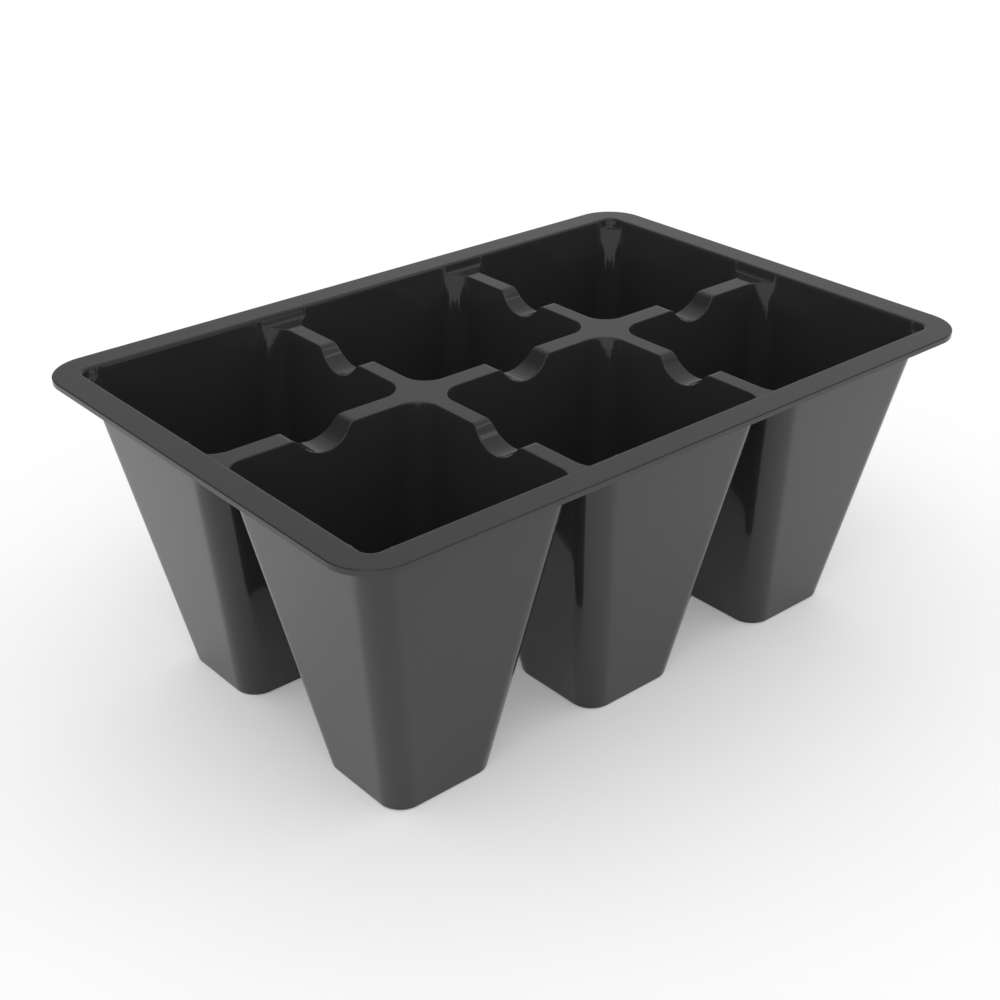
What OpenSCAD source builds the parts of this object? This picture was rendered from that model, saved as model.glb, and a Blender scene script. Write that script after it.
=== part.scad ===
// Six-cell seedling tray, one thin formed sheet: a flat rim with a turned-down lip, six square
// pots tapering to flat feet, and low webs between the pots with a rounded dip in each.
// Millimetres. X runs along the long side (three pots), Y along the short side (two pots), Z up.
// The origin is the middle of the underside of the feet.

/* [Tray] */
// Length over the rim
tray_l = 134; // [126:1:145]
// Width over the rim
tray_w = 91.4; // [87:0.1:98]
// Height from the feet to the rim
tray_h = 55.7; // [46:0.1:66]
// Thickness of the sheet
sheet = 0.4; // [0.35:0.05:0.6]

/* [Rim] */
// Width of the rim, from the lip to the wall of the pots
rim_w = 5.2; // [4.6:0.1:6]
// Outer corner radius of the rim
rim_r = 7.9; // [7:0.1:9]
// Inner corner radius of the rim
well_r = 1.1; // [0.8:0.1:1.6]
// Height of the turned-down lip, sheet included
lip_h = 1; // [0.9:0.1:3]
// Rounding where the rim turns down into the pots
edge_r = 0.65; // [0.5:0.05:0.7]

/* [Webs] */
// How far the tops of the webs sit below the rim
web_drop = 1.9; // [1.9:0.1:2.4]
// Width of the two webs that run across the tray
cross_web_w = 3.2; // [3:0.1:4]
// Width of the web that runs along the tray
long_web_w = 3.9; // [3.4:0.1:4.6]
// Rounding where the webs turn down into the pots
web_edge_r = 0.3; // [0.2:0.05:0.4]
// Length of the ramp at each end of a web
ramp_l = 3.3; // [2.8:0.1:3.6]
// Slope of the ramp in degrees
ramp_a = 8.5; // [7:0.5:10]
// Radius of the hollow between the ramp and the wall of the rim
hollow_r = 1.4; // [1:0.1:1.5]

/* [Dips] */
// Depth of the dip in each web
dip_depth = 3.3; // [2:0.1:4.5]
// Radius of the bottom of the dip
dip_r = 5.8; // [5:0.1:6.5]
// Radius of the shoulders of the dip
dip_shoulder_r = 1.5; // [1:0.1:2]

/* [Pots] */
// Draft of the walls of the pots in degrees
draft = 9.8; // [9:0.1:10.5]
// Corner radius of the pots at the top
pot_r = 4.4; // [3.5:0.1:5]
// Corner radius of the foot
foot_r = 4.3; // [3.5:0.1:5]
// Diameter of the drain hole in each foot
drain_d = 8; // [5:0.5:10]

/* [Hidden] */
black = [0.13, 0.13, 0.135];
corner_steps = 6;
round_steps = 3;
hollow_steps = 4;
web_z = tray_h - web_drop;
half_l = tray_l / 2;
half_w = tray_w / 2;
slope = tan(draft);
// thickness of a sloping wall, measured level
skin = sheet / cos(draft);
rise = web_z - sheet;
// where the wall of the rim would meet the height of the web tops
open_x = half_l - rim_w - slope * web_drop;
open_y = half_w - rim_w - slope * web_drop;
web_x = cross_web_w / 2;
web_y = long_web_w / 2;
// half sizes and places of the pots at the height of the web tops, all six the same
pot_half_l = (open_x - cross_web_w) / 3;
pot_half_w = (open_y - web_y) / 2;
pot_x = 2 * pot_half_l + cross_web_w;
pot_y = pot_half_w + web_y;
web_mid = pot_half_l + web_x;
// slope of the wall of the rim from level, and the middle of the hollow at its foot
wall_turn = 90 - draft;
hollow_reach = hollow_r / sin(wall_turn);
hollow_up = hollow_r / cos(ramp_a) + tan(ramp_a) * (ramp_l - hollow_reach);
hollow_z = hollow_up / (1 - slope * tan(ramp_a));
hollow_u = slope * hollow_z - hollow_reach;
// middle of the rounding at the top of that wall
edge_u = edge_r * sin(wall_turn) + slope * (web_drop - edge_r + edge_r * cos(wall_turn));
dip_turn = acos(1 - dip_depth / (dip_r + dip_shoulder_r));
dip_half = (dip_r + dip_shoulder_r) * sin(dip_turn);
// how much wider the web is at the bottom of a dip, as its walls spread, and the cut's allowance
dip_spread = 2 * slope * dip_depth;
cut_extra = 1.2;

// points of a rounded rectangle, x from x0 to x1, y from y0 to y1, at height z
function corner(cx, cy, r, start, z) = [
    for (i = [0 : corner_steps])
        let (a = start + 90 * i / corner_steps)
        [cx + r * cos(a), cy + r * sin(a), z]
];
function ring(s) =
    let (x0 = s[0], x1 = s[1], y0 = s[2], y1 = s[3], r = s[4], z = s[5])
    concat(
        corner(x1 - r, y1 - r, r, 0, z),
        corner(x0 + r, y1 - r, r, 90, z),
        corner(x0 + r, y0 + r, r, 180, z),
        corner(x1 - r, y0 + r, r, 270, z)
    );
function centred(hx, hy, r, z) = [-hx, hx, -hy, hy, r, z];

// closed solid through a stack of rounded rectangles, lowest first
module stack(sections) {
    m = 4 * (corner_steps + 1);
    n = len(sections);
    points = [for (s = sections) each ring(s)];
    sides = [
        for (k = [0 : n - 2], i = [0 : m - 1])
            let (a = k * m + i, b = k * m + (i + 1) % m, c = b + m, d = a + m)
            each [[a, d, c], [a, c, b]]
    ];
    bottom = [for (i = [0 : m - 1]) i];
    top = [for (i = [0 : m - 1]) n * m - 1 - i];
    polyhedron(points = points, faces = concat([bottom], sides, [top]), convexity = 8);
}

// inner section of the pot in column c (-1, 0, 1) and row r (-1, 1) at height z
// out grows it all round, and grow_web only on its sides towards a web
function pot_section(c, r, z, out, grow_web) =
    let (
        hx = pot_half_l - slope * (web_z - z) + out,
        hy = pot_half_w - slope * (web_z - z) + out,
        rad = foot_r - skin + (z - sheet) / rise * (pot_r - foot_r + skin)
    )
    [
        c * pot_x - hx - (c < 0 ? 0 : grow_web),
        c * pot_x + hx + (c > 0 ? 0 : grow_web),
        r * pot_y - hy - (r < 0 ? 0 : grow_web),
        r * pot_y + hy + (r > 0 ? 0 : grow_web),
        rad + out,
        z
    ];

// height at which the hollow runs into the wall of the rim: out is 0 inside, the sheet's thickness outside
function hollow_top(out) = web_z + hollow_z - (hollow_r + out) * cos(wall_turn);

module pot_outside(c, r) {
    foot_edge = 0.5;
    stack(concat(
        [
            for (i = [0 : round_steps])
                let (a = 90 * i / round_steps, z = foot_edge * (1 - cos(a)))
                pot_section(c, r, z, skin - foot_edge * (1 - sin(a)), 0)
        ],
        [pot_section(c, r, hollow_top(sheet), skin, 0)]
    ));
}

// inside of a pot, its mouth rounded over onto the webs
module pot_inside(c, r) {
    stack(concat(
        [pot_section(c, r, sheet, 0, 0)],
        [
            for (i = [0 : round_steps])
                let (a = 90 * i / round_steps)
                pot_section(c, r, web_z - web_edge_r * (1 - sin(a)), 0, web_edge_r * (1 - cos(a)))
        ],
        [pot_section(c, r, hollow_top(0), 0, web_edge_r)]
    ));
}

// shallow well over the webs: its floor ramps up at the edge, turns up into a wall and rounds onto the rim
module well(out) {
    function section(u, z) =
        centred(open_x + u, open_y + u, max(well_r + u - slope * web_drop, sheet), z);
    top_out = edge_r - out;
    stack(concat(
        [section(out * tan(ramp_a / 2) - ramp_l, web_z - out)],
        [
            for (i = [0 : hollow_steps])
                let (a = ramp_a + (wall_turn - ramp_a) * i / hollow_steps)
                section(hollow_u + (hollow_r + out) * sin(a), web_z + hollow_z - (hollow_r + out) * cos(a))
        ],
        [
            for (i = [0 : round_steps])
                let (a = wall_turn * (1 - i / round_steps))
                section(edge_u - top_out * sin(a), tray_h - edge_r + top_out * cos(a))
        ],
        out > 0 ? [] : [section(edge_u, tray_h + 1)]
    ));
}

module rim() {
    lip_r = 0.3;
    difference() {
        stack(concat(
            [centred(half_l, half_w, rim_r, tray_h - lip_h)],
            [
                for (i = [0 : round_steps])
                    let (a = 90 * i / round_steps, d = lip_r * (1 - cos(a)))
                    centred(half_l - d, half_w - d, rim_r - d, tray_h - lip_r + lip_r * sin(a))
            ]
        ));
        stack([
            centred(half_l - sheet, half_w - sheet, rim_r - sheet, tray_h - lip_h - 1),
            centred(half_l - sheet, half_w - sheet, rim_r - sheet, tray_h - sheet)
        ]);
    }
}

// height of a dip over its run u from the middle of the dip
function dip_curve() = concat(
    [
        for (i = [-6 : 6])
            let (a = dip_turn * i / 6)
            [dip_r * sin(a), dip_r * (1 - cos(a)) - dip_depth]
    ],
    [
        for (i = [1 : 3])
            let (a = dip_turn * (1 - i / 3))
            [dip_half - dip_shoulder_r * sin(a), -dip_shoulder_r * (1 - cos(a))]
    ]
);
function dip_start() = [
    for (i = [0 : 2])
        let (a = dip_turn * i / 3)
        [-dip_half + dip_shoulder_r * sin(a), -dip_shoulder_r * (1 - cos(a))]
];
function dip_path() = concat(dip_start(), dip_curve());

// run of a dip along X, lying in the web's top, cut across a web of width w
module dip_cut(w) {
    rotate([90, 0, 0])
        linear_extrude(w, center = true)
            polygon(concat(dip_path(), [[dip_half, 0.8], [-dip_half, 0.8]]));
}
module dip_floor(w) {
    low = [for (p = dip_path()) [p[0] * (1 + sheet / dip_half), p[1] - sheet]];
    rotate([90, 0, 0])
        linear_extrude(w, center = true)
            polygon(concat(low, [[dip_half + sheet, -sheet / 2], [-dip_half - sheet, -sheet / 2]]));
}
module at_dips() {
    for (x = [-pot_x, 0, pot_x])
        translate([x, 0, web_z])
            children(0);
    for (x = [-web_mid, web_mid], y = [-pot_y, pot_y])
        translate([x, y, web_z])
            rotate([0, 0, 90])
                children(1);
}

module tray() {
    color(black)
        difference() {
            union() {
                rim();
                well(sheet);
                for (c = [-1 : 1], r = [-1, 1])
                    pot_outside(c, r);
                at_dips() {
                    dip_floor(long_web_w + dip_spread);
                    dip_floor(cross_web_w + dip_spread);
                }
            }
            well(0);
            for (c = [-1 : 1], r = [-1, 1]) {
                pot_inside(c, r);
                translate([c * pot_x, r * pot_y, -1])
                    cylinder(d = drain_d, h = 3, $fn = 36);
            }
            at_dips() {
                dip_cut(long_web_w + dip_spread + cut_extra);
                dip_cut(cross_web_w + dip_spread + cut_extra);
            }
        }
}

tray();
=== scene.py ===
"""Seedling tray: a thin formed sheet of black satin plastic, on a white floor under soft studio light."""

import math

import bpy
from mathutils import Matrix, Vector
from mathutils.geometry import delaunay_2d_cdt


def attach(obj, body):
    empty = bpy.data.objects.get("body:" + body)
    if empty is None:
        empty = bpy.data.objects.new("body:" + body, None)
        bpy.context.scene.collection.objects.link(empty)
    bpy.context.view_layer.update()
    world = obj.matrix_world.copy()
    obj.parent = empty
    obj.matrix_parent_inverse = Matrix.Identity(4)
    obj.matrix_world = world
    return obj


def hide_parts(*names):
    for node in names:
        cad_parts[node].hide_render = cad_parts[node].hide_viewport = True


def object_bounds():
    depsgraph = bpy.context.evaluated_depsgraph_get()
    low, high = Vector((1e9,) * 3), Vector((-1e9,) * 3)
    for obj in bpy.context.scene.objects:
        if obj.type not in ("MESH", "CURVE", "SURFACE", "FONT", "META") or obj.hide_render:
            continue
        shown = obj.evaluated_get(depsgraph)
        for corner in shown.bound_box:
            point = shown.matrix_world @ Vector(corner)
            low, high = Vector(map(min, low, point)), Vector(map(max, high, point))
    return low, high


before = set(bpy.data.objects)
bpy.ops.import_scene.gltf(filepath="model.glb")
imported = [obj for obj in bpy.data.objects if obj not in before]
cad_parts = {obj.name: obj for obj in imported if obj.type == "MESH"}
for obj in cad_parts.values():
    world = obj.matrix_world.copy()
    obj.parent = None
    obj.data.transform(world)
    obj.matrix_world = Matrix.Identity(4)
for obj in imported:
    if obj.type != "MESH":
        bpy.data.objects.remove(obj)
CAD_LOW, CAD_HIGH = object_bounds()

# Sizes are in millimetres; a mesh is scaled by MM as it is made
MM = 0.001

# Tray, as packed
TRAY_L = (CAD_HIGH.x - CAD_LOW.x) / MM
TRAY_W = (CAD_HIGH.y - CAD_LOW.y) / MM
TRAY_H = (CAD_HIGH.z - CAD_LOW.z) / MM
SHEET = 0.4

# Rim: its width, outer and inner corners, the turned-down lip, and the edge where it turns into the pots
RIM_W = 5.2
RIM_R = 7.9
WELL_R = 2.0
LIP_H = 1.0
LIP_R = 0.2
EDGE_R = 0.65

# Webs between the pots, and the hollow in which they meet the wall of the rim
WEB_DROP = 1.9
CROSS_WEB_W = 3.2
LONG_WEB_W = 3.9
WEB_EDGE_R = 0.22
HOLLOW_R = 1.0

# Dips in the webs, and how far from the middle of a web its dip is pressed
DIP_DEPTH = 3.3
DIP_R = 5.8
DIP_SHOULDER_R = 1.5
DIP_REACH = 4.0

# Pots
DRAFT = math.radians(9.8)
POT_R = 4.4
FOOT_R = 4.3
FOOT_EDGE_R = 0.15
DRAIN_D = 8.0
COLUMNS = (-1, 0, 1)
ROWS = (-1, 1)

# Steps of the mesh
CORNER_STEPS = 20
DIP_STEPS = 32
FLANK_STEPS = 7
WALL_STEPS = 8
FLOOR_STEPS = 4
FOOT_STEPS = 3
ROUND_STEPS = 5
HOLLOW_STEPS = 8
LIP_STEPS = 4
LIP_SIDE_STEPS = 30

# Points on the tops: the grid at the ends of the webs, the least gap between two rows, the rows on the
# flat before the hollow and on the rim past its edge, and the shares of a web's width
JOIN_GRID = 0.25
ROW_GAP = 0.03
ROWS_BEFORE_HOLLOW = (0.1, 0.4, 1.0, 2.0)
ROW_PAST_EDGE = 0.3
WEB_SHARES = (-0.45, 0, 0.45)

# The gap to the wall over which the edge of a mouth climbs to the rim, the width of the flat ring beside
# an edge, the room kept clear round a mouth, the area of a sliver, and the distance of points that are one
BLEND = 0.15
FLAT_STEP = 0.12
CLEAR = 0.16
SLIVER = 1e-4
SAME_POINT = 1e-6

# The angle from which an edge is shaded as a sharp one
SHARP_EDGE = math.radians(50)

# Worked out from the sizes above
WEB_Z = TRAY_H - WEB_DROP
RISE = WEB_Z - SHEET
SLOPE = math.tan(DRAFT)
SKIN = SHEET / math.cos(DRAFT)
OPEN_X = TRAY_L / 2 - RIM_W - SLOPE * WEB_DROP
OPEN_Y = TRAY_W / 2 - RIM_W - SLOPE * WEB_DROP
POT_HALF_L = (OPEN_X - CROSS_WEB_W) / 3
POT_HALF_W = (OPEN_Y - LONG_WEB_W / 2) / 2
POT_X = 2 * POT_HALF_L + CROSS_WEB_W
POT_Y = POT_HALF_W + LONG_WEB_W / 2
WEB_MID = POT_HALF_L + CROSS_WEB_W / 2
WALL_SHARES = (FLAT_STEP / RISE, *(i / WALL_STEPS for i in range(1, WALL_STEPS)), 1 - FLAT_STEP / RISE)

# Section through the wall of the rim, measured outwards from where it would meet the height of the webs
WALL_TURN = math.pi / 2 - DRAFT
HOLLOW_U = SLOPE * HOLLOW_R - HOLLOW_R / math.sin(WALL_TURN)
EDGE_U = EDGE_R * math.sin(WALL_TURN) + SLOPE * (WEB_DROP - EDGE_R + EDGE_R * math.cos(WALL_TURN))

# What the forming works with, in metres: the corner of the well, the section of its wall, and the dips
CORNER_X = OPEN_X + SLOPE * WEB_DROP - WELL_R
CORNER_Y = OPEN_Y + SLOPE * WEB_DROP - WELL_R
FORMING_SIZES = {
    "Corner x": CORNER_X * MM,
    "Corner y": CORNER_Y * MM,
    "Corner inset": (WELL_R - SLOPE * WEB_DROP) * MM,
    "Hollow middle": HOLLOW_U * MM,
    "Hollow radius": HOLLOW_R * MM,
    "Hollow end": HOLLOW_R * math.sin(WALL_TURN) * MM,
    "Wall from": (HOLLOW_U + HOLLOW_R * math.sin(WALL_TURN)) * MM,
    "Wall to": (EDGE_U - EDGE_R * math.sin(WALL_TURN)) * MM,
    "Wall slope": SLOPE,
    "Edge middle": EDGE_U * MM,
    "Edge radius": EDGE_R * MM,
    "Edge end": EDGE_R * math.sin(WALL_TURN) * MM,
    "Dip depth": DIP_DEPTH * MM,
    "Dip radius": DIP_R * MM,
    "Dip reach": DIP_REACH * MM,
    "Shoulder radius": DIP_SHOULDER_R * MM,
    "Cross web": WEB_MID * MM,
    "Pot length": POT_X * MM,
    "Pot width": POT_Y * MM,
}

# Black plastic: its tones, and the wide mottle and the fine grain that vary its gloss
DARK_TONE = (0.0255, 0.0255, 0.026, 1.0)
LIGHT_TONE = (0.0285, 0.0285, 0.029, 1.0)
PLASTIC_IOR = 1.5
MOTTLE_SCALE = 90.0
MOTTLE_DETAIL = 3.0
GRAIN_SCALE = 1400.0
GRAIN_DETAIL = 2.0
SMOOTHEST = 0.05
MOTTLE_ROUGHNESS = 0.03
GRAIN_ROUGHNESS = 0.01
GRAIN_STRENGTH = 0.05
GRAIN_HEIGHT = 0.0001

# Floor, its size in metres
WHITE = (1.0, 1.0, 1.0, 1.0)
FLOOR_TONE = (0.9, 0.9, 0.9, 1.0)
FLOOR_LIFT = 0.2
FLOOR_SIZE = 6.0

# Studio, as levels of white, seen in the tray's gloss; AWAY points from the camera to the tray, level
AWAY = (0.659, 0.752)
ROOM_LEVEL = 0.62
DIM_LEVEL = 0.07
LEFT_TO = 0.68
LEFT_SOFT = 0.3
RIGHT_TO = -0.9
RIGHT_SOFT = 0.12
FADE_FROM = 0.07
FADE = 0.75
NEAR_FROM = -0.22
NEAR_SOFT = 0.15
HORIZON_EDGE = 0.27
HORIZON_SOFT = 0.03
EVEN_LIGHT = 0.86
SEEN_RAYS = ("Is Camera Ray", "Is Glossy Ray", "Is Transmission Ray")

# Soft lamps: how far off they hang in metres, and each one's direction from the tray, size and power
LAMP_AWAY = 1.2
LAMPS = {
    "right_lamp": ((0.5415, -0.368, 0.76), 0.2, 0.0955),
    "camera_lamp": ((-0.367, -0.343, 0.865), 0.5, 1.1),
}

# Camera: its place in metres, its angles in degrees, and its lens in pixels of the picture
CAMERA_PLACE = Vector((-0.16612, -0.18969, 0.16057))
CAMERA_TURN = -41.225
CAMERA_HEIGHT = 30.525
CAMERA_ROLL = 0.089
FOCAL_PIXELS = 1570.6
CENTRE_PIXEL = (517.2, 567.0)
PICTURE_PIXELS = 1000
SENSOR = 36.0
CLIP_START = 0.01


class Wire:
    """A node socket used in plain arithmetic: every operation adds its own node to the tree."""

    def __init__(self, tree, socket=None):
        self.tree = tree
        self.socket = socket

    def node(self, kind, settings=None, inputs=None, output=0):
        """Adds a node of a kind, with its settings and its inputs, and returns one of its outputs."""
        made = self.tree.nodes.new(kind)
        for name, value in (settings or {}).items():
            setattr(made, name, value)
        for name, value in (inputs or {}).items():
            if isinstance(value, Wire):
                value.into(made.inputs[name])
            else:
                made.inputs[name].default_value = value
        return Wire(self.tree, made.outputs[output])

    def into(self, socket):
        """Links the wire to an input."""
        self.tree.links.new(self.socket, socket)

    def math(self, operation, *values):
        return self.node("ShaderNodeMath", {"operation": operation}, dict(enumerate(values)))

    def __add__(self, other):
        return self.math("ADD", self, other)

    def __sub__(self, other):
        return self.math("SUBTRACT", self, other)

    def __rsub__(self, other):
        return self.math("SUBTRACT", other, self)

    def __mul__(self, other):
        return self.math("MULTIPLY", self, other)

    def __truediv__(self, other):
        return self.math("DIVIDE", self, other)

    def __rtruediv__(self, other):
        return self.math("DIVIDE", other, self)

    def __lt__(self, other):
        return self.math("LESS_THAN", self, other)

    __radd__ = __add__
    __rmul__ = __mul__

    def size(self):
        return self.math("ABSOLUTE", self)

    def root(self):
        return self.math("SQRT", self)

    def rounded(self):
        return self.math("ROUND", self)

    def least(self, other):
        return self.math("MINIMUM", self, other)

    def most(self, other):
        return self.math("MAXIMUM", self, other)

    def between(self, low, high):
        return self.node("ShaderNodeClamp", None, {"Value": self, "Min": low, "Max": high})

    def axes(self):
        """The three numbers of a vector."""
        split = self.node("ShaderNodeSeparateXYZ", None, {0: self}).socket.node
        return [Wire(self.tree, output) for output in split.outputs]


# Plan of the sheet, laid out with every top at the height of the webs


def pot_section(column, row, height):
    """Edges and corner radius of the inside of a pot at a height: x0, x1, y0, y1, radius."""
    half_x = POT_HALF_L - SLOPE * (WEB_Z - height)
    half_y = POT_HALF_W - SLOPE * (WEB_Z - height)
    radius = FOOT_R - SKIN + (height - SHEET) / RISE * (POT_R - FOOT_R + SKIN)
    x, y = column * POT_X, row * POT_Y
    return (x - half_x, x + half_x, y - half_y, y + half_y, radius)


def grown(section, out):
    """A section moved outwards by a distance all round."""
    x0, x1, y0, y1, radius = section
    return (x0 - out, x1 + out, y0 - out, y1 + out, radius + out)


def side_stations():
    """Where the points of a straight side lie, from 0 to 1: close together over the dip."""
    straight = POT_HALF_L - POT_R
    dip_share = (DIP_R + DIP_SHOULDER_R) / (2 * straight)
    first, last = 0.5 - dip_share, 0.5 + dip_share
    flank = [first * i / FLANK_STEPS for i in range(1, FLANK_STEPS)]
    middle = [first + (last - first) * i / DIP_STEPS for i in range(DIP_STEPS + 1)]
    return flank + middle + [1 - f for f in reversed(flank)]


def ring(section, stations):
    """Plan points round a rounded rectangle: corner arcs, and the stations on each straight side."""
    x0, x1, y0, y1, radius = section
    centres = [
        Vector((x1 - radius, y1 - radius)),
        Vector((x0 + radius, y1 - radius)),
        Vector((x0 + radius, y0 + radius)),
        Vector((x1 - radius, y0 + radius)),
    ]
    points = []
    for k, centre in enumerate(centres):
        for i in range(CORNER_STEPS + 1):
            angle = math.radians(90 * (k + i / CORNER_STEPS))
            points.append(centre + radius * Vector((math.cos(angle), math.sin(angle))))
        start = points[-1]
        end = centres[(k + 1) % 4] + (start - centre)
        points += [start.lerp(end, f) for f in stations]
    return points


def circle(centre, radius, like):
    """Points round a circle, one towards each point of a ring."""
    return [centre + radius * (p - centre).normalized() for p in like]


class Net:
    """The sheet before it is formed: points, faces and how each point follows the height of the top."""

    def __init__(self):
        self.points = []
        self.over = []
        self.draft = []
        self.follow = []
        self.faces = []

    def add_point(self, point):
        """Adds a point of the tops and returns its number."""
        return self.add_ring([point], [WEB_Z], [point], [Vector((0, 0))], 1)[0]

    def add_ring(self, plan, heights, over, draft, follow):
        """Adds a closed ring of points and returns their numbers."""
        first = len(self.points)
        self.points += [(p.x, p.y, height) for p, height in zip(plan, heights)]
        self.over += [(p.x, p.y, 0) for p in over]
        self.draft += [(d.x, d.y, 0) for d in draft]
        self.follow += [follow] * len(plan)
        return list(range(first, first + len(plan)))

    def grow(self, last, plan, heights, over, draft, follow):
        """Adds a ring that lies further out or higher than the last one, and the faces between them."""
        now = self.add_ring(plan, heights, over, draft, follow)
        for i in range(len(last)):
            j = (i + 1) % len(last)
            self.faces.append((last[i], now[i], now[j], last[j]))
        return now


def quarter(radius, steps):
    """Points of a quarter round as distances out and up, from the foot of the round to its top."""
    turns = [math.pi / 2 * i / steps for i in range(steps + 1)]
    return [(radius * (1 - math.cos(a)), radius * math.sin(a)) for a in turns]


class Mouth:
    """The mouth of a pot: where its points lie, which way is out, how they drift outwards as they rise."""

    def __init__(self, column, row, stations):
        section = pot_section(column, row, WEB_Z)
        higher = pot_section(column, row, WEB_Z + 1)
        self.base = ring(section, stations)
        self.out = [b - a for a, b in zip(self.base, ring(grown(section, 1), stations))]
        self.drift = [b - a for a, b in zip(self.base, ring(higher, stations))]
        self.rim_share = [self.share_of_rim(column, p) for p in self.base]
        self.radius = [WEB_EDGE_R + (EDGE_R - WEB_EDGE_R) * share for share in self.rim_share]
        self.over = self.rounding(0)[0]
        self.draft = [d * (1 - share) for d, share in zip(self.drift, self.rim_share)]

    @staticmethod
    def share_of_rim(column, point):
        """1 along the wall of the rim, 0 over the webs, and between them a short blend."""
        gap = OPEN_Y - abs(point.y)
        if column * point.x > 0:
            gap = min(gap, OPEN_X - abs(point.x))
        return max(1 - gap / BLEND, 0)

    def rounding(self, angle):
        """Plan points and heights of the ring that lies at an angle round the edge of the mouth."""
        turned_out = math.sin(WALL_TURN) - math.sin(angle)
        down = 1 - math.cos(WALL_TURN)
        plan = []
        for i, r in enumerate(self.radius):
            drift = self.drift[i] * (WEB_DROP * self.rim_share[i] - r * down)
            plan.append(self.base[i] + drift + self.out[i] * (r * turned_out))
        return plan, [WEB_Z - r * (1 - math.cos(angle)) for r in self.radius]


def lay_pot(net, column, row, stations):
    """One pot, from its drain hole up the walls to its mouth; returns the last ring of the mouth."""
    mouth = Mouth(column, row, stations)
    over, count = mouth.over, len(mouth.over)
    still = [Vector((0, 0))] * count
    centre = Vector((column * POT_X, row * POT_Y))
    floor_edge = ring(grown(pot_section(column, row, SHEET), -FOOT_EDGE_R), stations)
    hole = circle(centre, DRAIN_D / 2, floor_edge)
    last = net.add_ring(hole, [SHEET] * count, over, still, 0)
    for i in range(1, FLOOR_STEPS):
        plan = [a.lerp(b, i / FLOOR_STEPS) for a, b in zip(hole, floor_edge)]
        last = net.grow(last, plan, [SHEET] * count, over, still, 0)
    for up, inwards in quarter(FOOT_EDGE_R, FOOT_STEPS):
        plan = ring(grown(pot_section(column, row, SHEET + up), inwards - FOOT_EDGE_R), stations)
        last = net.grow(last, plan, [SHEET + up] * count, over, still, 0)
    low = SHEET + FOOT_EDGE_R
    top, heights = mouth.rounding(WALL_TURN)
    for share in WALL_SHARES:
        wall = [a.lerp(b, share) for a, b in zip(plan, top)]
        levels = [low + (height - low) * share for height in heights]
        last = net.grow(last, wall, levels, over, [d * share for d in mouth.draft], share)
    for i in range(ROUND_STEPS + 1):
        edge, heights = mouth.rounding(WALL_TURN * (1 - i / ROUND_STEPS))
        last = net.grow(last, edge, heights, over, mouth.draft, 1)
    beside = [p + o * FLAT_STEP for p, o in zip(edge, mouth.out)]
    return net.grow(last, beside, heights, beside, mouth.draft, 1)


def lay_lip(net):
    """The turned-down lip, from the flat of the rim outwards; returns its innermost ring."""
    sides = [i / LIP_SIDE_STEPS for i in range(1, LIP_SIDE_STEPS)]
    section = (-TRAY_L / 2, TRAY_L / 2, -TRAY_W / 2, TRAY_W / 2, RIM_R)
    flat = ring(grown(section, -LIP_R), sides)
    beside = ring(grown(section, -LIP_R - FLAT_STEP), sides)
    count = len(flat)
    still = [Vector((0, 0))] * count
    first = net.add_ring(beside, [WEB_Z] * count, beside, still, 1)
    last = net.grow(first, flat, [WEB_Z] * count, flat, still, 1)
    for i in range(1, LIP_STEPS + 1):
        angle = math.pi / 2 * i / LIP_STEPS
        plan = ring(grown(section, LIP_R * (math.sin(angle) - 1)), sides)
        last = net.grow(last, plan, [WEB_Z - LIP_R * (1 - math.cos(angle))] * count, flat, still, 1)
    net.grow(last, ring(section, sides), [WEB_Z - LIP_H] * count, flat, still, 1)
    return first


def join_rows():
    """Distances outwards at which the hollow, the wall of the rim and its edge are sampled."""
    level = [HOLLOW_U - gap for gap in ROWS_BEFORE_HOLLOW]
    turns = [WALL_TURN * i / HOLLOW_STEPS for i in range(HOLLOW_STEPS + 1)]
    hollow = [HOLLOW_U + HOLLOW_R * math.sin(a) for a in turns]
    crown = [EDGE_U - EDGE_R * math.sin(a) for a in reversed(turns)]
    rows = []
    for out in sorted(level + hollow + crown + [EDGE_U, EDGE_U + ROW_PAST_EDGE]):
        if not rows or out - rows[-1] > ROW_GAP:
            rows.append(out)
    return rows


def sample_webs(stations):
    """Plan points along the webs, in line with the points of the pots' straight sides."""
    points = []
    for column in COLUMNS:
        for f in stations:
            x = column * POT_X + (2 * f - 1) * (POT_HALF_L - POT_R)
            points += [Vector((x, share * LONG_WEB_W / 2)) for share in WEB_SHARES]
    for side in ROWS:
        for row in ROWS:
            for f in stations:
                x, y = side * WEB_MID, row * POT_Y + (2 * f - 1) * (POT_HALF_W - POT_R)
                points += [Vector((x + share * CROSS_WEB_W / 2, y)) for share in WEB_SHARES]
    return points


def sample_joins():
    """Plan points where the webs and the corners of the pots meet the wall of the rim."""
    points = []
    reach = int((POT_R + CROSS_WEB_W) / JOIN_GRID)
    steps = [i * JOIN_GRID for i in range(-reach, reach + 1)]
    middle = Vector((CORNER_X, CORNER_Y))
    for out in join_rows():
        x, y = OPEN_X + out, OPEN_Y + out
        corner = []
        for step in steps:
            for side in ROWS:
                points += [Vector((side * WEB_MID + step, row * y)) for row in ROWS]
                points.append(Vector((side * x, step)))
            if step >= 0:
                corner += [Vector((x, min(y, middle.y) - step)), Vector((min(x, middle.x) - step, y))]
        radius = x - middle.x
        if radius > 0:
            for i in range(1, CORNER_STEPS):
                angle = math.pi / 2 * i / CORNER_STEPS
                corner.append(middle + radius * Vector((math.cos(angle), math.sin(angle))))
        points += [Vector((p.x * side, p.y * row)) for p in corner for side in ROWS for row in ROWS]
    return points


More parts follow.
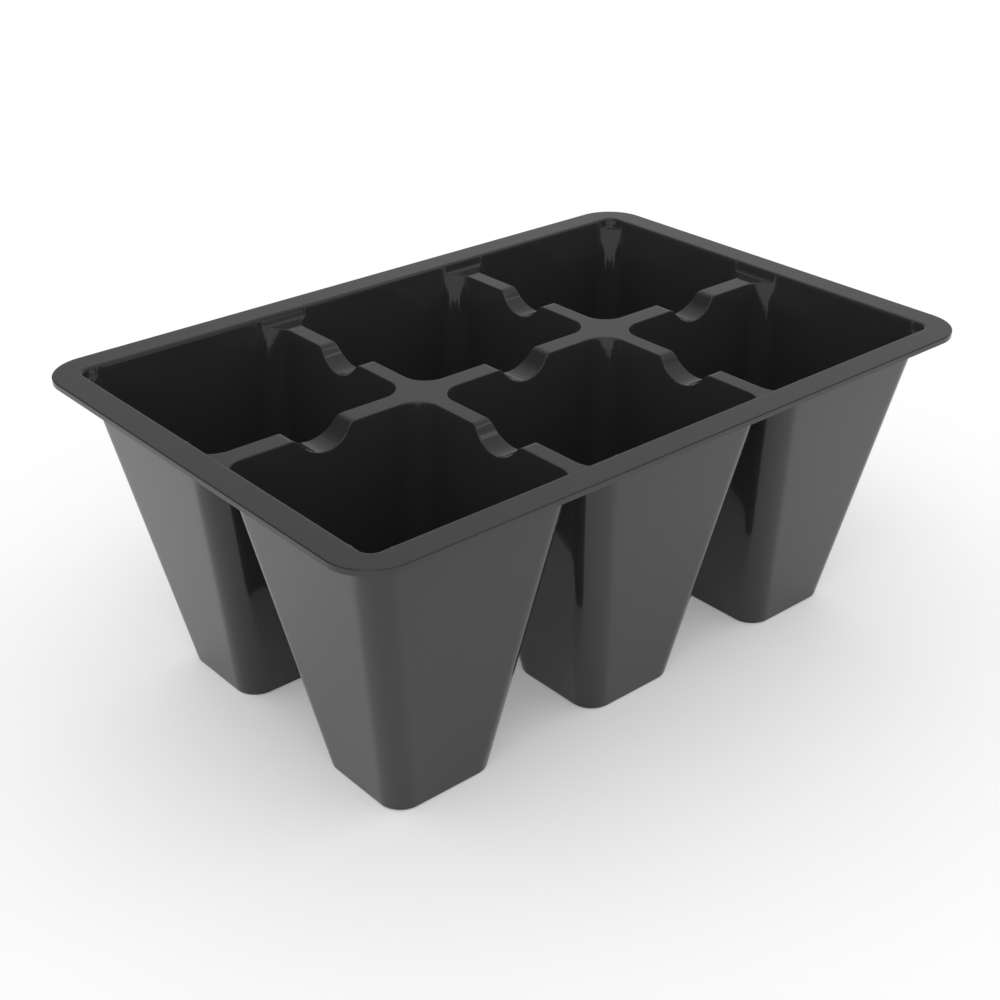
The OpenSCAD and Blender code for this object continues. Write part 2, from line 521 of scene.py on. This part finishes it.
def inside(point, section, margin):
    """Whether a plan point lies in a rounded rectangle grown by a margin."""
    x0, x1, y0, y1, radius = grown(section, margin)
    dx = max(abs(point.x - (x0 + x1) / 2) - (x1 - x0) / 2 + radius, 0)
    dy = max(abs(point.y - (y0 + y1) / 2) - (y1 - y0) / 2 + radius, 0)
    return math.hypot(dx, dy) < radius


def beside_side(along, across, span, depth, radius, wall):
    """Whether a point next to the straight part of a mouth's side is over the mouth or by the rim's wall."""
    run = radius * math.sin(math.acos(1 - BLEND / radius)) + FLAT_STEP + CLEAR
    if not span[0] + radius - run < along < span[1] - radius + run:
        return False
    if depth[0] < across < depth[1]:
        return True
    return wall <= abs(across) < wall + EDGE_U + FLAT_STEP + CLEAR and across * sum(depth) > 0


def over_mouth(point, sections):
    """Whether a plan point lies over the mouth of a pot, or too near its edge for an even mesh."""
    for section in sections:
        if inside(point, section, WEB_EDGE_R + FLAT_STEP + CLEAR):
            return True
        x0, x1, y0, y1, radius = section
        if beside_side(point.x, point.y, (x0, x1), (y0, y1), radius, OPEN_Y):
            return True
        if beside_side(point.y, point.x, (y0, y1), (x0, x1), radius, OPEN_X):
            return True
    return False


def encloses(loop, point):
    """Whether a closed loop of plan points goes round a plan point."""
    crossed = False
    for a, b in zip(loop, loop[1:] + loop[:1]):
        if (a.y > point.y) != (b.y > point.y):
            if point.x < a.x + (point.y - a.y) / (b.y - a.y) * (b.x - a.x):
                crossed = not crossed
    return crossed


def lay_tops(net, mouths, outline, stations):
    """The flat of the rim and the tops of the webs, between the mouths of the pots and the lip."""
    loops = mouths + [outline]
    numbers = [n for loop in loops for n in loop]
    plan = [Vector(net.points[n][:2]) for n in numbers]
    edges = []
    holes = []
    loop_of = {}
    first = 0
    for k, loop in enumerate(loops):
        edges += [(first + i, first + (i + 1) % len(loop)) for i in range(len(loop))]
        loop_of.update({first + i: k for i in range(len(loop))})
        holes.append(plan[first:first + len(loop)])
        first += len(loop)
    sections = [pot_section(column, row, WEB_Z) for column in COLUMNS for row in ROWS]
    for point in sample_webs(stations) + sample_joins():
        if not over_mouth(point, sections):
            numbers.append(net.add_point(point))
            plan.append(point)
    _, _, faces, origins, _, _ = delaunay_2d_cdt(plan, edges, [], 0, SAME_POINT)
    for face in faces:
        given = [origins[i][0] for i in face]
        corners = [plan[i] for i in given]
        turn = (corners[1] - corners[0]).cross(corners[2] - corners[0])
        around = {loop_of.get(i, -1) for i in given}
        k = around.pop()
        if around or k < 0:
            dropped = False
        elif k == len(mouths):
            dropped = abs(turn) < SLIVER
        else:
            dropped = encloses(holes[k], sum(corners, Vector((0, 0))) / 3)
        if not dropped:
            face = [numbers[i] for i in given]
            net.faces.append(face if turn > 0 else face[::-1])


# Forming of the sheet


def past_well(x, y, size):
    """How far a plan position lies past where the wall would meet the height of the webs."""
    across = x.size() - size["Corner x"]
    along = y.size() - size["Corner y"]
    far_x = across.most(0.0)
    far_y = along.most(0.0)
    beyond = (far_x * far_x + far_y * far_y).root() + across.most(along).least(0.0)
    return beyond - size["Corner inset"]


def rim_rise(u, size):
    """Height over the webs in the section through the hollow, the wall of the rim and its edge."""
    hollow = (u - size["Hollow middle"]).between(0.0, size["Hollow end"])
    wall = (u - size["Wall from"]).between(0.0, size["Wall to"] - size["Wall from"])
    crown = (size["Edge middle"] - u).between(0.0, size["Edge end"])
    hollow_r, edge_r = size["Hollow radius"], size["Edge radius"]
    return (
        hollow_r
        - (hollow_r * hollow_r - hollow * hollow).root()
        + wall / size["Wall slope"]
        + (edge_r * edge_r - crown * crown).root()
        - (edge_r * edge_r - size["Edge end"] * size["Edge end"]).root()
    )


def dip_rise(u, size):
    """Height in the section through a dip, below 0: a round bottom between two round shoulders."""
    bottom, shoulder = size["Dip radius"], size["Shoulder radius"]
    cosine = 1 - size["Dip depth"] / (bottom + shoulder)
    sine = (1 - cosine * cosine).root()
    inner = u.size().between(0.0, bottom * sine)
    outer = ((bottom + shoulder) * sine - u.size()).between(0.0, shoulder * sine)
    bowl = bottom - (bottom * bottom - inner * inner).root() - bottom * (1 - cosine)
    return bowl - shoulder + (shoulder * shoulder - outer * outer).root()


def top_rise(x, y, size):
    """How far the top stands above the flat of the webs at a plan position: the rim and the dips."""
    on_long_web = y.size() < size["Dip reach"]
    on_cross_web = (x.size() - size["Cross web"]).size() < size["Dip reach"]
    pot = (x / size["Pot length"]).rounded()
    long_dip = on_long_web * dip_rise(x - pot * size["Pot length"], size)
    cross_dip = on_cross_web * dip_rise(y.size() - size["Pot width"], size)
    return rim_rise(past_well(x, y, size), size) + long_dip + cross_dip


def forming_tree(material):
    """Geometry Nodes that lift the rim and press the dips into the laid-out sheet."""
    tree = bpy.data.node_groups.new("forming", "GeometryNodeTree")
    tree.interface.new_socket("Sheet", in_out="INPUT", socket_type="NodeSocketGeometry")
    for name in FORMING_SIZES:
        tree.interface.new_socket(name, in_out="INPUT", socket_type="NodeSocketFloat")
    tree.interface.new_socket("Sheet", in_out="OUTPUT", socket_type="NodeSocketGeometry")
    start = tree.nodes.new("NodeGroupInput")
    wires = {output.name: Wire(tree, output) for output in start.outputs if output.name}
    tool = Wire(tree)

    def named(name, kind):
        return tool.node("GeometryNodeInputNamedAttribute", {"data_type": kind}, {"Name": name})

    x, y, _ = named("over", "FLOAT_VECTOR").axes()
    draft_x, draft_y, _ = named("draft", "FLOAT_VECTOR").axes()
    first = top_rise(x, y, wires)
    rise = top_rise(x + draft_x * first, y + draft_y * first, wires)
    moved = {0: draft_x * rise, 1: draft_y * rise, 2: named("follow", "FLOAT") * rise}
    offset = tool.node("ShaderNodeCombineXYZ", None, moved)
    formed = tool.node("GeometryNodeSetPosition", None, {"Geometry": wires["Sheet"], "Offset": offset})
    real = tool.node("GeometryNodeRealizeInstances", None, {"Geometry": formed})
    dressed = tool.node("GeometryNodeSetMaterial", None, {"Geometry": real, "Material": material})
    dressed.into(tree.nodes.new("NodeGroupOutput").inputs["Sheet"])
    return tree


def net_mesh(net):
    """The laid-out sheet as a mesh in metres, with what the forming reads as attributes of its points."""
    mesh = bpy.data.meshes.new("sheet")
    mesh.from_pydata([Vector(p) * MM for p in net.points], [], net.faces)
    for name, kind, key, values in (
        ("over", "FLOAT_VECTOR", "vector", [c * MM for p in net.over for c in p]),
        ("draft", "FLOAT_VECTOR", "vector", [c for p in net.draft for c in p]),
        ("follow", "FLOAT", "value", net.follow),
    ):
        mesh.attributes.new(name, kind, "POINT").data.foreach_set(key, values)
    return mesh


def made_plain(thing, name):
    """The evaluated mesh of an object with modifiers, as a new object without them."""
    shown = thing.evaluated_get(bpy.context.evaluated_depsgraph_get())
    mesh = bpy.data.meshes.new_from_object(shown)
    bpy.data.objects.remove(thing)
    plain = bpy.data.objects.new(name, mesh)
    bpy.context.scene.collection.objects.link(plain)
    return plain


def form_tray(material):
    """The whole tray: the sheet laid out, formed, and given its thickness."""
    net = Net()
    stations = side_stations()
    mouths = [lay_pot(net, column, row, stations) for column in COLUMNS for row in ROWS]
    lay_tops(net, mouths, lay_lip(net), stations)
    flat = bpy.data.objects.new("flat_sheet", net_mesh(net))
    bpy.context.scene.collection.objects.link(flat)
    forming = flat.modifiers.new("forming", "NODES")
    forming.node_group = forming_tree(material)
    for item in forming.node_group.interface.items_tree:
        if item.name in FORMING_SIZES:
            forming[item.identifier] = FORMING_SIZES[item.name]
    gauge = flat.modifiers.new("gauge", "SOLIDIFY")
    gauge.thickness = SHEET * MM
    gauge.offset = -1
    gauge.use_even_offset = True
    formed = made_plain(flat, "formed_tray")
    for name in ("over", "draft", "follow"):
        formed.data.attributes.remove(formed.data.attributes[name])
    formed.data.shade_smooth()
    formed.data.set_sharp_from_angle(angle=SHARP_EDGE)
    return formed


# Finishes


def black_plastic():
    """Black polystyrene sheet: satin, with a faint mottle from forming."""
    material = bpy.data.materials.new("black satin plastic")
    material.use_nodes = True
    tree = material.node_tree
    inputs = tree.nodes["Principled BSDF"].inputs
    inputs["IOR"].default_value = PLASTIC_IOR
    tool = Wire(tree)

    def noise(scale, detail):
        place = tool.node("ShaderNodeTexCoord", output="Object")
        return tool.node("ShaderNodeTexNoise", None, {"Vector": place, "Scale": scale, "Detail": detail})

    mottle = noise(MOTTLE_SCALE, MOTTLE_DETAIL)
    grain = noise(GRAIN_SCALE, GRAIN_DETAIL)
    (SMOOTHEST + mottle * MOTTLE_ROUGHNESS + grain * GRAIN_ROUGHNESS).into(inputs["Roughness"])
    tones = {"Factor": mottle, 6: DARK_TONE, 7: LIGHT_TONE}
    tool.node("ShaderNodeMix", {"data_type": "RGBA"}, tones, output=2).into(inputs["Base Color"])
    surface = {"Strength": GRAIN_STRENGTH, "Distance": GRAIN_HEIGHT, "Height": grain}
    tool.node("ShaderNodeBump", None, surface).into(inputs["Normal"])
    return material


def seen_white(tool, glow, light):
    """Mixes what the camera and reflections see with what lights the scene."""
    camera, glossy, through = (tool.node("ShaderNodeLightPath", output=ray) for ray in SEEN_RAYS)
    seen = camera.most(glossy).most(through)
    return tool.node("ShaderNodeMixShader", None, {0: seen, 1: light, 2: glow})


def floor_white():
    """White studio floor that keeps the tray's shadow."""
    material = bpy.data.materials.new("white floor")
    material.use_nodes = True
    tree = material.node_tree
    tree.nodes.remove(tree.nodes["Principled BSDF"])
    tool = Wire(tree)
    matt = tool.node("ShaderNodeBsdfDiffuse", None, {"Color": FLOOR_TONE})
    lift = tool.node("ShaderNodeEmission", None, {"Color": WHITE, "Strength": FLOOR_LIFT})
    bright = tool.node("ShaderNodeAddShader", None, {0: matt, 1: lift})
    seen_white(tool, bright, matt).into(tree.nodes["Material Output"].inputs["Surface"])
    return material


def studio_world():
    """What reflections see: a pale room that falls off to both sides and a white horizon; an even light."""
    world = bpy.data.worlds.new("studio")
    world.use_nodes = True
    tree = world.node_tree
    tree.nodes.remove(tree.nodes["Background"])
    tool = Wire(tree)
    x, y, up = tool.node("ShaderNodeTexCoord", output="Generated").axes()
    beyond = x * AWAY[0] + y * AWAY[1]
    left = y * AWAY[0] - x * AWAY[1]
    left_end = ((LEFT_TO - left) / LEFT_SOFT).between(0.0, 1.0)
    right_end = ((left - RIGHT_TO) / RIGHT_SOFT).between(0.0, 1.0)
    fade = 1 - (left - FADE_FROM).between(0.0, 1.0) * FADE
    room = (fade * ROOM_LEVEL - DIM_LEVEL) * (left_end * right_end) + DIM_LEVEL
    near = ((NEAR_FROM - beyond) / NEAR_SOFT).between(0.0, 1.0)
    horizon = ((HORIZON_EDGE - up) / HORIZON_SOFT).between(0.0, 1.0) * near
    camera = tool.node("ShaderNodeLightPath", output="Is Camera Ray")
    level = room.most(horizon).most(camera)
    picture = tool.node("ShaderNodeBackground", None, {"Strength": level})
    even = tool.node("ShaderNodeBackground", None, {"Color": WHITE, "Strength": EVEN_LIGHT})
    seen_white(tool, picture, even).into(tree.nodes["World Output"].inputs["Surface"])
    bpy.context.scene.world = world


# Stage, light and camera


def lay_floor():
    """The floor that the feet stand on."""
    half = FLOOR_SIZE / 2
    mesh = bpy.data.meshes.new("floor")
    corners = [(-half, -half, 0), (half, -half, 0), (half, half, 0), (-half, half, 0)]
    mesh.from_pydata(corners, [], [(0, 1, 2, 3)])
    mesh.materials.append(floor_white())
    floor = bpy.data.objects.new("floor", mesh)
    bpy.context.scene.collection.objects.link(floor)


def hang_lamp(name, way, size, watts):
    """A soft lamp that faces the tray, with one side level."""
    lamp = bpy.data.lights.new(name, "AREA")
    lamp.size = size
    lamp.energy = watts
    holder = bpy.data.objects.new(name, lamp)
    back = Vector(way).normalized()
    along = Vector((AWAY[0], AWAY[1], 0))
    along = (along - along.dot(back) * back).normalized()
    turned = Matrix((along.cross(back), along, back)).transposed().to_4x4()
    holder.matrix_world = Matrix.Translation(back * LAMP_AWAY) @ turned
    bpy.context.scene.collection.objects.link(holder)


def set_camera():
    """The camera where the photograph was taken from."""
    turn, height = math.radians(CAMERA_TURN), math.radians(CAMERA_HEIGHT)
    level = math.cos(height)
    back = Vector((math.sin(turn) * level, -math.cos(turn) * level, math.sin(height)))
    right = Vector((math.cos(turn), math.sin(turn), 0))
    upright = Matrix((right, back.cross(right), back)).transposed()
    roll = Matrix.Rotation(math.radians(CAMERA_ROLL), 3, "Z")
    camera = bpy.data.cameras.new("camera")
    camera.sensor_width = SENSOR
    camera.lens = FOCAL_PIXELS / PICTURE_PIXELS * SENSOR
    camera.shift_x = (PICTURE_PIXELS / 2 - CENTRE_PIXEL[0]) / PICTURE_PIXELS
    camera.shift_y = (CENTRE_PIXEL[1] - PICTURE_PIXELS / 2) / PICTURE_PIXELS
    camera.clip_start = CLIP_START
    holder = bpy.data.objects.new("camera", camera)
    holder.matrix_world = Matrix.Translation(CAMERA_PLACE) @ (upright @ roll).to_4x4()
    bpy.context.scene.collection.objects.link(holder)
    bpy.context.scene.camera = holder


set_camera()
tray = form_tray(black_plastic())
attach(tray, "root")
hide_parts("tray")
lay_floor()
studio_world()
for lamp_name, (lamp_way, lamp_size, lamp_watts) in LAMPS.items():
    hang_lamp(lamp_name, lamp_way, lamp_size, lamp_watts)
bpy.context.scene.view_settings.view_transform = "Standard"
